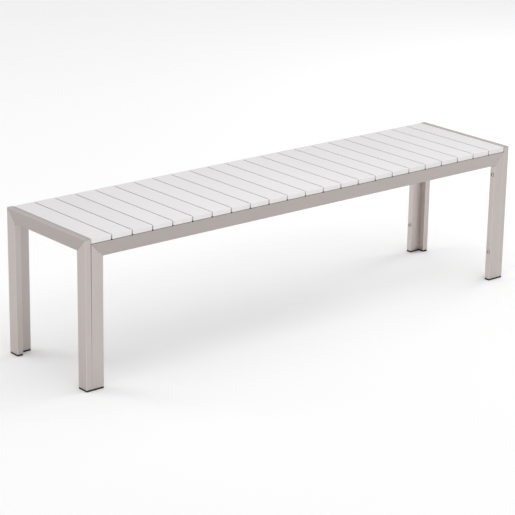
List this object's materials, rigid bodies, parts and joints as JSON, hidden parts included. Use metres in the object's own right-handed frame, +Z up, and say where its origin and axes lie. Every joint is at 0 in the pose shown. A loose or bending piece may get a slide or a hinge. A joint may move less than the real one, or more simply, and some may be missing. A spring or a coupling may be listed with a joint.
{
  "type": "garden bench",
  "caption": "Backless garden bench: slats of white synthetic wood laid across two side rails, on mitred aluminium tube frames with two-tube corner legs and black foot plugs.",
  "frame": {"origin": "on the floor, in the middle of the bench's footprint", "axes": "+X along the bench to its right end as seen from the front, +Y across the bench to its back, +Z up"},
  "size_m": [1.6, 0.375, 0.43],
  "materials": {
    "leg": "brushed and anodised, warm silver, grain along the tube",
    "rail": "brushed and anodised, warm silver, grain along the tube",
    "slat": "white synthetic wood with a fine matt grain",
    "foot": "black moulded plastic, fine matt texture",
    "bolt": "stainless steel, turned",
    "carrier": "plain mill finish, drawn lines along the angle"
  },
  "bodies": {
    "root": {"end_leg_left_front": "leg", "end_leg_left_back": "leg", "end_rail_left": "rail", "end_leg_right_front": "leg", "end_leg_right_back": "leg", "end_rail_right": "rail", "side_leg_front_left": "leg", "side_leg_front_right": "leg", "side_rail_front": "rail", "side_leg_back_left": "leg", "side_leg_back_right": "leg", "side_rail_back": "rail", "foot_front_left_end": "foot", "foot_front_left_side": "foot", "foot_front_right_end": "foot", "foot_front_right_side": "foot", "foot_back_left_end": "foot", "foot_back_left_side": "foot", "foot_back_right_end": "foot", "foot_back_right_side": "foot", "bolt_front_left_low": "bolt", "bolt_front_left_high": "bolt", "bolt_front_right_low": "bolt", "bolt_front_right_high": "bolt", "bolt_back_left_low": "bolt", "bolt_back_left_high": "bolt", "bolt_back_right_low": "bolt", "bolt_back_right_high": "bolt", "slat_01": "slat", "slat_02": "slat", "slat_03": "slat", "slat_04": "slat", "slat_05": "slat", "slat_06": "slat", "slat_07": "slat", "slat_08": "slat", "slat_09": "slat", "slat_10": "slat", "slat_11": "slat", "slat_12": "slat", "slat_13": "slat", "slat_14": "slat", "slat_15": "slat", "slat_16": "slat", "slat_17": "slat", "slat_18": "slat", "slat_19": "slat", "slat_20": "slat", "slat_21": "slat", "slat_22": "slat", "slat_23": "slat", "slat_carrier_front": "carrier", "slat_carrier_back": "carrier"}
  },
  "joints": []
}
